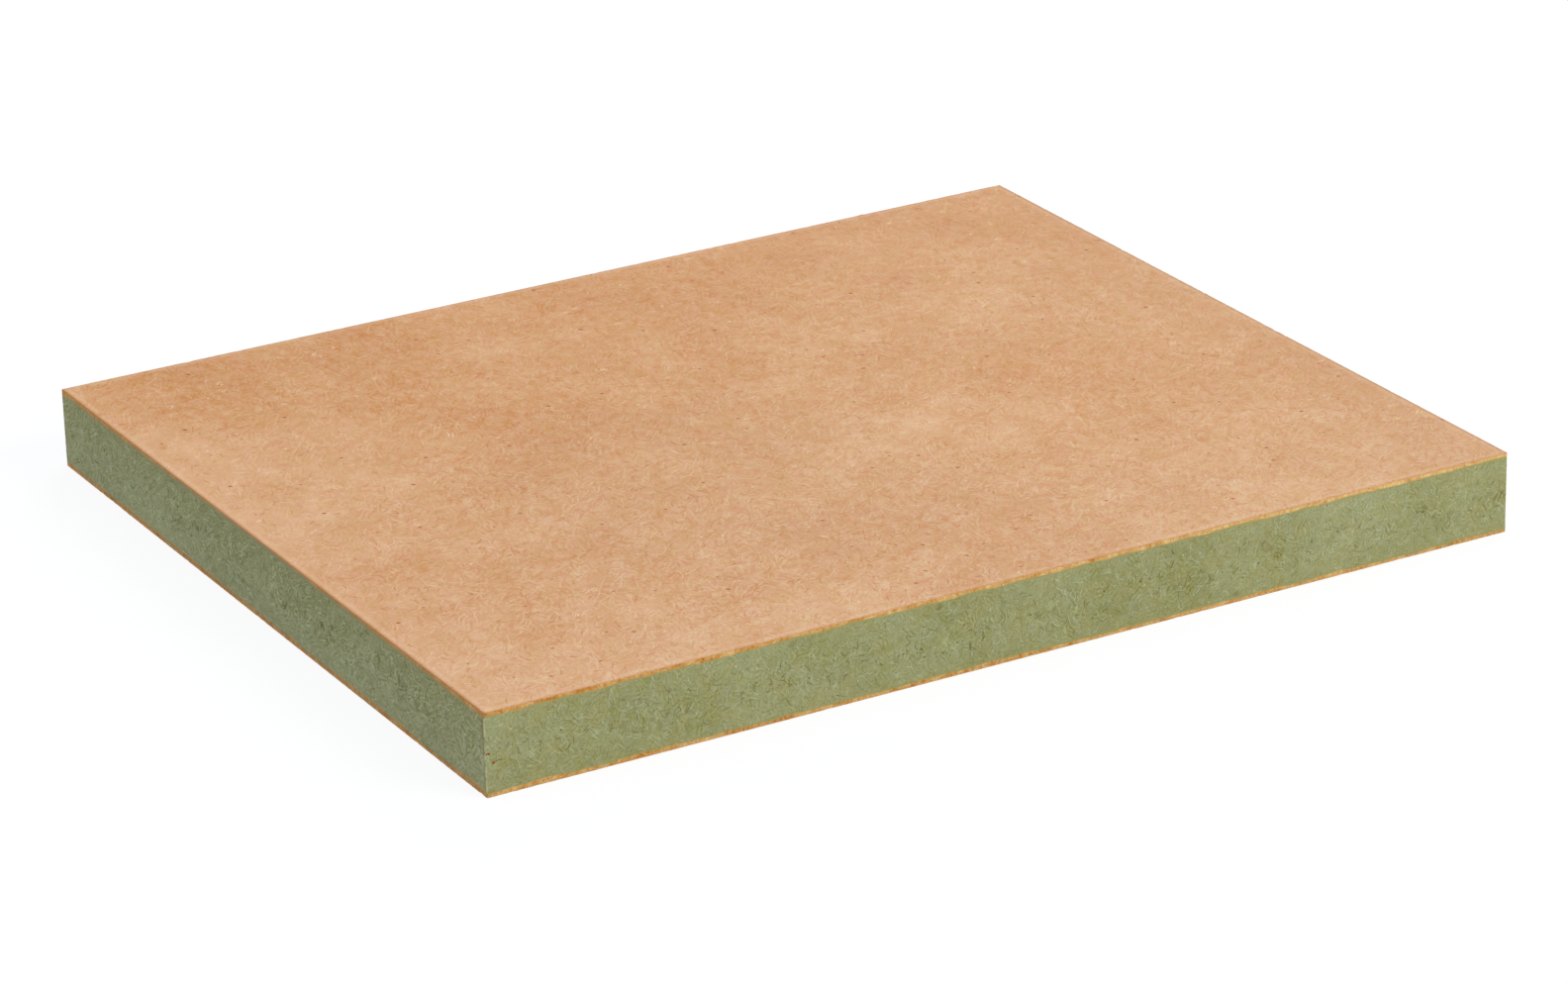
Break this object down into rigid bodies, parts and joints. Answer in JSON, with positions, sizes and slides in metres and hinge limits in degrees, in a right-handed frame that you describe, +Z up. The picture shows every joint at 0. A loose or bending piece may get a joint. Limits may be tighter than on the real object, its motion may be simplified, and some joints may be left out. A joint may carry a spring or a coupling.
{
  "type": "faced fibreboard panel",
  "caption": "Rectangular sheet of green moisture-resistant fibreboard with a thin brown fibre face bonded to each side, sawn square, for use as flat panel stock.",
  "frame": {"origin": "centre of the underside, on the surface that the board lies on", "axes": "+X along the longer side, +Y along the shorter side, +Z up through the thickness, out of the top face"},
  "size_m": [0.24, 0.2, 0.018],
  "materials": {
    "brown_face": "matte",
    "green_core": "matte"
  },
  "bodies": {
    "root": {"bottom_face_sheet": "brown_face", "core_panel": "green_core", "top_face_sheet": "brown_face"}
  },
  "joints": []
}
